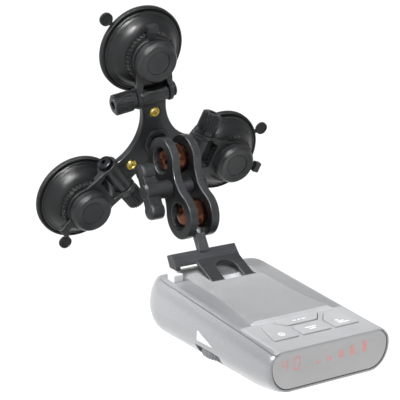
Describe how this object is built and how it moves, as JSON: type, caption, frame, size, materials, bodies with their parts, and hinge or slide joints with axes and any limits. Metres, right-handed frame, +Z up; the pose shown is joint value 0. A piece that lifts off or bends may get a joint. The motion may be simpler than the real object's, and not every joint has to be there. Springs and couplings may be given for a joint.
{
  "type": "radar detector on a suction-cup windscreen mount",
  "caption": "Radar detector held by a forked bracket, a double ball arm and a three-armed plate with hinged suction cups for a windscreen.",
  "frame": {"origin": "middle of the three suction cups, on the glass", "axes": "+X to the driver's right, -Y to the driver, so the detector's display faces -Y, +Z up"},
  "size_m": [0.1377, 0.1767, 0.1609],
  "materials": {
    "rubber": "matte moulded rubber",
    "dome_black": "glossy moulded black",
    "satin_black": "satin black",
    "matte_black": "matte black",
    "black_steel": "black oxide steel",
    "steel": "plain steel",
    "brass": "turned brass",
    "plate_black": "fine black powder coat",
    "copper": "polished copper plate on steel",
    "anodised_grey": "satin dark anodised",
    "bracket_grey": "satin grey paint",
    "deck_grey": "soft-touch grey",
    "case_silver": "glossy silver paint",
    "window_grey": "smoked acrylic shown pale",
    "lens_grey": "smoked acrylic",
    "key_grey": "satin grey",
    "tab_white": "satin white",
    "board_green": "solder mask",
    "socket_black": "moulded black"
  },
  "bodies": {
    "plate": {"tri_plate": "plate_black", "top_brass_insert": "brass", "left_brass_insert": "brass", "right_brass_insert": "brass", "upper_stud": "black_steel"},
    "top_cup": {"top_suction_pad": "rubber", "top_cup_shell": "dome_black", "top_detent_ring": "matte_black", "top_cup_arm": "satin_black", "top_hinge_bolt": "black_steel"},
    "top_lock": {"top_lock_knob": "satin_black", "top_knob_cap": "satin_black"},
    "top_lifter": {"top_pull_stud": "steel"},
    "top_thumb": {"top_hinge_knob": "matte_black"},
    "left_cup": {"left_suction_pad": "rubber", "left_cup_shell": "dome_black", "left_detent_ring": "matte_black", "left_cup_arm": "satin_black", "left_hinge_bolt": "black_steel"},
    "left_lock": {"left_lock_knob": "satin_black", "left_knob_cap": "satin_black"},
    "left_lifter": {"left_pull_stud": "steel"},
    "left_thumb": {"left_hinge_knob": "matte_black"},
    "right_cup": {"right_suction_pad": "rubber", "right_cup_shell": "dome_black", "right_detent_ring": "matte_black", "right_cup_arm": "satin_black", "right_hinge_bolt": "black_steel"},
    "right_lock": {"right_lock_knob": "satin_black", "right_knob_cap": "satin_black"},
    "right_lifter": {"right_pull_stud": "steel"},
    "right_thumb": {"right_hinge_knob": "matte_black"},
    "upper_ball": {"upper_ball": "copper"},
    "arm": {"left_arm_plate": "anodised_grey", "right_arm_plate": "anodised_grey", "arm_spacer": "anodised_grey", "clamp_bolt": "black_steel"},
    "clamp": {"clamp_knob": "matte_black"},
    "lower_ball": {"lower_ball": "copper"},
    "bracket": {"blade": "bracket_grey", "fork_bracket": "bracket_grey"},
    "detector": {"top_cover": "deck_grey", "lower_case": "case_silver", "display_window": "window_grey", "rear_lens": "lens_grey", "display_board": "board_green", "switch_board": "board_green", "main_board": "board_green", "horn_antenna": "steel", "speaker": "socket_black", "power_socket": "socket_black", "left_case_screw": "steel", "right_case_screw": "steel"},
    "upper_key": {"upper_button": "key_grey"},
    "middle_key": {"middle_button": "key_grey"},
    "left_key": {"left_button": "key_grey"},
    "right_key": {"right_button": "key_grey"},
    "release_key": {"release_button": "tab_white"},
    "wheel": {"volume_wheel": "matte_black"}
  },
  "joints": [
    {"name": "top_cup_tilt", "type": "hinge", "parent": "plate", "child": "top_cup", "pos_m": [-0.00601, -0.01737, 0.02382], "axis": [-0.9791, 0.0853, -0.1848], "range_deg": [-25, 25]},
    {"name": "top_lock_turn", "type": "hinge", "parent": "top_cup", "child": "top_lock", "pos_m": [-0.01001, -0.01202, 0.04749], "axis": [-0.0366, -0.9669, -0.2524], "range_deg": [0, 100]},
    {"name": "top_stud_lift", "type": "slide", "parent": "top_cup", "child": "top_lifter", "axis": [-0.0366, -0.9669, -0.2524], "range_m": [0, 0.0012]},
    {"name": "top_thumb_turn", "type": "hinge", "parent": "top_cup", "child": "top_thumb", "pos_m": [-0.00601, -0.01737, 0.02382], "axis": [-0.9791, 0.0853, -0.1848], "range_deg": [-90, 180]},
    {"name": "left_cup_tilt", "type": "hinge", "parent": "plate", "child": "left_cup", "pos_m": [-0.02134, -0.0052, -0.02056], "axis": [0.6629, 0.1655, -0.7302], "range_deg": [-25, 25]},
    {"name": "left_lock_turn", "type": "hinge", "parent": "left_cup", "child": "left_lock", "pos_m": [-0.03739, 0.0097, -0.03175], "axis": [-0.0366, -0.9669, -0.2524], "range_deg": [0, 100]},
    {"name": "left_stud_lift", "type": "slide", "parent": "left_cup", "child": "left_lifter", "axis": [-0.0366, -0.9669, -0.2524], "range_m": [0, 0.0012]},
    {"name": "left_thumb_turn", "type": "hinge", "parent": "left_cup", "child": "left_thumb", "pos_m": [-0.02134, -0.0052, -0.02056], "axis": [0.6629, 0.1655, -0.7302], "range_deg": [-90, 180]},
    {"name": "right_cup_tilt", "type": "hinge", "parent": "plate", "child": "right_cup", "pos_m": [0.02614, -0.00934, -0.01159], "axis": [0.3161, -0.2508, 0.915], "range_deg": [-25, 25]},
    {"name": "right_lock_turn", "type": "hinge", "parent": "right_cup", "child": "right_lock", "pos_m": [0.0474, 0.00231, -0.01574], "axis": [-0.0366, -0.9669, -0.2524], "range_deg": [0, 100]},
    {"name": "right_stud_lift", "type": "slide", "parent": "right_cup", "child": "right_lifter", "axis": [-0.0366, -0.9669, -0.2524], "range_m": [0, 0.0012]},
    {"name": "right_thumb_turn", "type": "hinge", "parent": "right_cup", "child": "right_thumb", "pos_m": [0.02614, -0.00934, -0.01159], "axis": [0.3161, -0.2508, 0.915], "range_deg": [-90, 180]},
    {"name": "upper_twist", "type": "hinge", "parent": "plate", "child": "upper_ball", "pos_m": [-0.0012, -0.0316, -0.00825], "axis": [-0.0366, -0.9669, -0.2524], "range_deg": [-25, 25]},
    {"name": "upper_swing", "type": "hinge", "parent": "upper_ball", "child": "arm", "pos_m": [-0.0012, -0.0316, -0.00825], "axis": [1, 0, 0], "range_deg": [-25, 12]},
    {"name": "clamp_turn", "type": "hinge", "parent": "arm", "child": "clamp", "pos_m": [-0.0012, -0.04034, -0.02101], "axis": [1, 0, 0], "range_deg": [-90, 180]},
    {"name": "lower_swing", "type": "hinge", "parent": "arm", "child": "lower_ball", "pos_m": [-0.0012, -0.04909, -0.03377], "axis": [1, 0, 0], "range_deg": [-25, 16]},
    {"name": "lower_twist", "type": "hinge", "parent": "lower_ball", "child": "bracket", "pos_m": [-0.0012, -0.04909, -0.03377], "axis": [0, -0.5017, -0.865], "range_deg": [-30, 30]},
    {"name": "detector_release", "type": "slide", "parent": "bracket", "child": "detector", "axis": [0, -0.9018, -0.4321], "range_m": [0, 0.025]},
    {"name": "upper_button_press", "type": "slide", "parent": "detector", "child": "upper_key", "axis": [0, 0.0736, -0.9973], "range_m": [0, 0.0008], "stiffness_N_per_m": 900, "springref_m": -0.0002},
    {"name": "middle_button_press", "type": "slide", "parent": "detector", "child": "middle_key", "axis": [0, 0.0736, -0.9973], "range_m": [0, 0.0008], "stiffness_N_per_m": 900, "springref_m": -0.0002},
    {"name": "left_button_press", "type": "slide", "parent": "detector", "child": "left_key", "axis": [0, 0.0736, -0.9973], "range_m": [0, 0.0008], "stiffness_N_per_m": 900, "springref_m": -0.0002},
    {"name": "right_button_press", "type": "slide", "parent": "detector", "child": "right_key", "axis": [0, 0.0736, -0.9973], "range_m": [0, 0.0008], "stiffness_N_per_m": 900, "springref_m": -0.0002},
    {"name": "release_button_press", "type": "slide", "parent": "detector", "child": "release_key", "axis": [0, 0, -1], "range_m": [0, 0.0012], "stiffness_N_per_m": 1200, "springref_m": -0.0002},
    {"name": "volume_turn", "type": "hinge", "parent": "detector", "child": "wheel", "pos_m": [-0.01765, -0.10678, -0.08539], "axis": [0, 0, 1], "range_deg": [0, 270]}
  ],
  "couplings": [
    {"joint": "top_lock_turn", "follows": "top_stud_lift", "rad_per_m": 1454.4},
    {"joint": "left_lock_turn", "follows": "left_stud_lift", "rad_per_m": 1454.4},
    {"joint": "right_lock_turn", "follows": "right_stud_lift", "rad_per_m": 1454.4}
  ]
}
